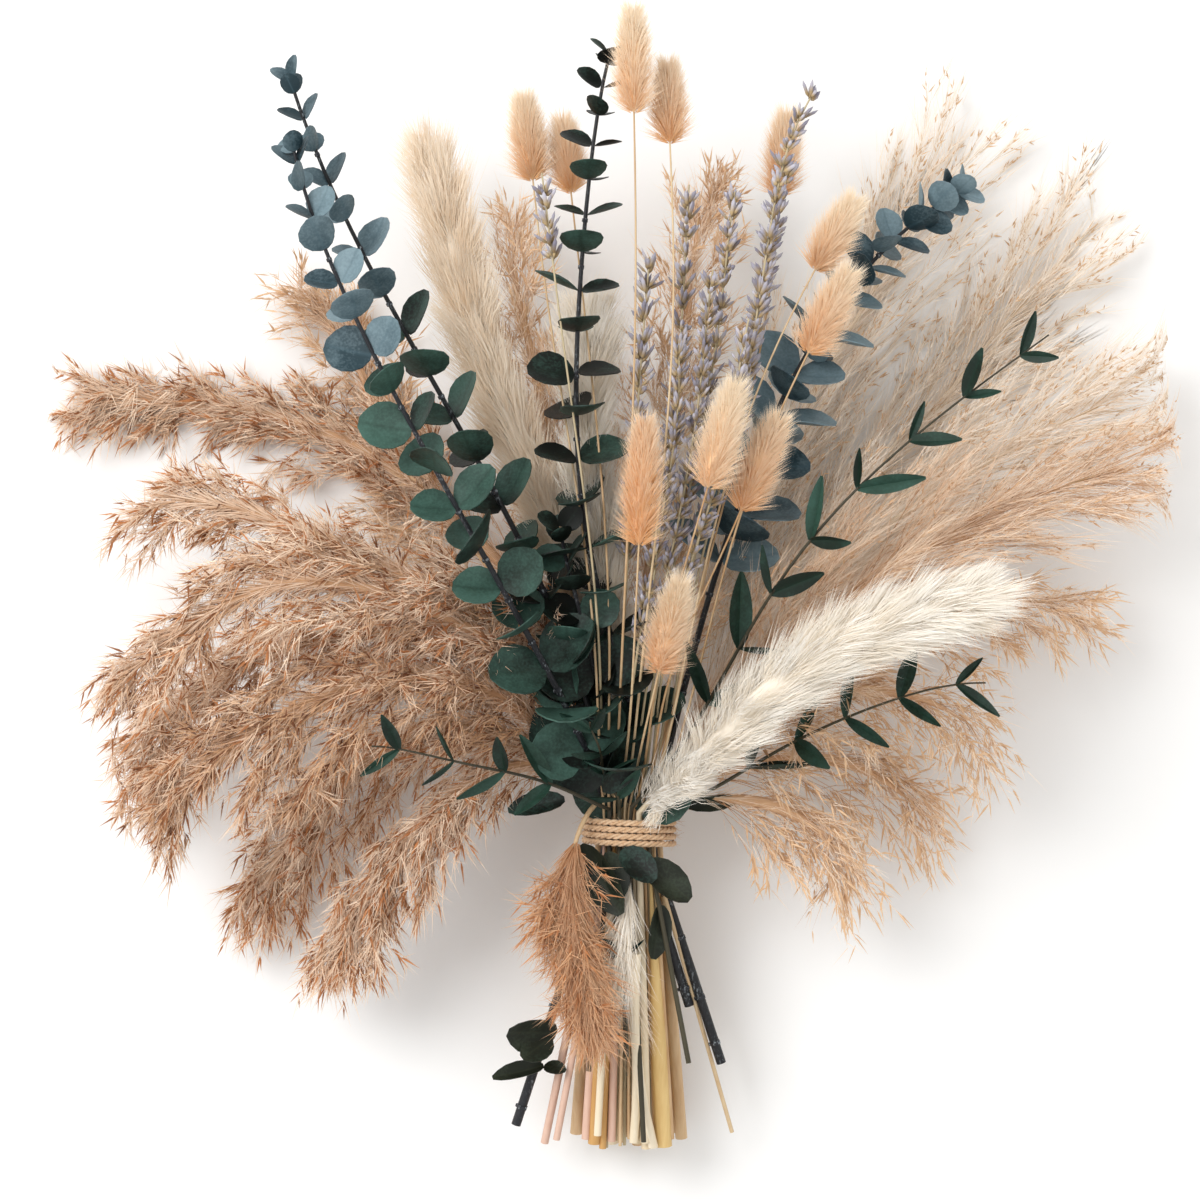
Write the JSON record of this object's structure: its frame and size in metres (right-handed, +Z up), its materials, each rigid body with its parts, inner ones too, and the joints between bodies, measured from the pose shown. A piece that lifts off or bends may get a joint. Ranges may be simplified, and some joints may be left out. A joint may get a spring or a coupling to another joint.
{
  "type": "dried flower bouquet",
  "caption": "Hand-tied bouquet of dried reed plumes, pampas, eucalyptus, lavender and bunny-tail grass, bound with jute twine and lying on its back.",
  "frame": {"origin": "middle of the bottom of the object's box, on the surface that the bouquet lies on", "axes": "+Y from the cut stems to the flower heads, +Z up from the surface towards the viewer, +X to the viewer's right when the heads point away"},
  "size_m": [0.4284, 0.4606, 0.1453],
  "materials": {
    "dried_reed": "dry orange-brown spikelets over silky beige hairs",
    "pale_grass": "dry, pale and airy grass",
    "cream_pampas": "soft cream plume",
    "eucalyptus_leaf": "preserved dark green leaf with a waxy bloom",
    "narrow_leaf": "preserved satin green leaf",
    "dried_lavender": "dry grey-violet buds on straw stems",
    "bunny_tail": "soft furry seed heads, peach and cream",
    "jute": "twisted natural jute"
  },
  "bodies": {
    "root": {"reed_left_top": "dried_reed", "reed_back_left": "dried_reed", "grass_back_right": "pale_grass", "grass_right_top": "pale_grass", "reed_left_foot": "dried_reed", "reed_left_low": "dried_reed", "reed_back_middle": "dried_reed", "grass_right_upper": "pale_grass", "reed_right_upper": "dried_reed", "reed_right_foot": "dried_reed", "reed_left_hanging": "dried_reed", "reed_left_upper": "dried_reed", "pampas_tall_left": "cream_pampas", "reed_back_centre": "dried_reed", "grass_right_middle": "pale_grass", "reed_right_middle": "dried_reed", "reed_right_hanging": "dried_reed", "reed_left_short": "dried_reed", "reed_left_front": "dried_reed", "reed_left_middle": "dried_reed", "pampas_centre": "cream_pampas", "eucalyptus_left": "eucalyptus_leaf", "eucalyptus_tall_left": "eucalyptus_leaf", "eucalyptus_low": "eucalyptus_leaf", "eucalyptus_centre": "eucalyptus_leaf", "eucalyptus_right": "eucalyptus_leaf", "lavender_far_left": "dried_lavender", "lavender_left": "dried_lavender", "lavender_low": "dried_lavender", "lavender_back": "dried_lavender", "lavender_middle": "dried_lavender", "lavender_tall": "dried_lavender", "lavender_front": "dried_lavender", "lavender_right_low": "dried_lavender", "lavender_right": "dried_lavender", "lavender_bending": "dried_lavender", "tail_far_left": "bunny_tail", "tail_top_left": "bunny_tail", "tail_top": "bunny_tail", "tail_tan": "bunny_tail", "tail_top_right": "bunny_tail", "tail_low": "bunny_tail", "tail_middle": "bunny_tail", "tail_middle_right": "bunny_tail", "tail_behind_lavender": "bunny_tail", "tail_right_top": "bunny_tail", "tail_right": "bunny_tail", "narrowleaf_left": "narrow_leaf", "narrowleaf_foot": "narrow_leaf", "narrowleaf_right": "narrow_leaf", "pampas_front": "cream_pampas", "narrowleaf_right_low": "narrow_leaf", "jute_twine": "jute"}
  },
  "joints": []
}
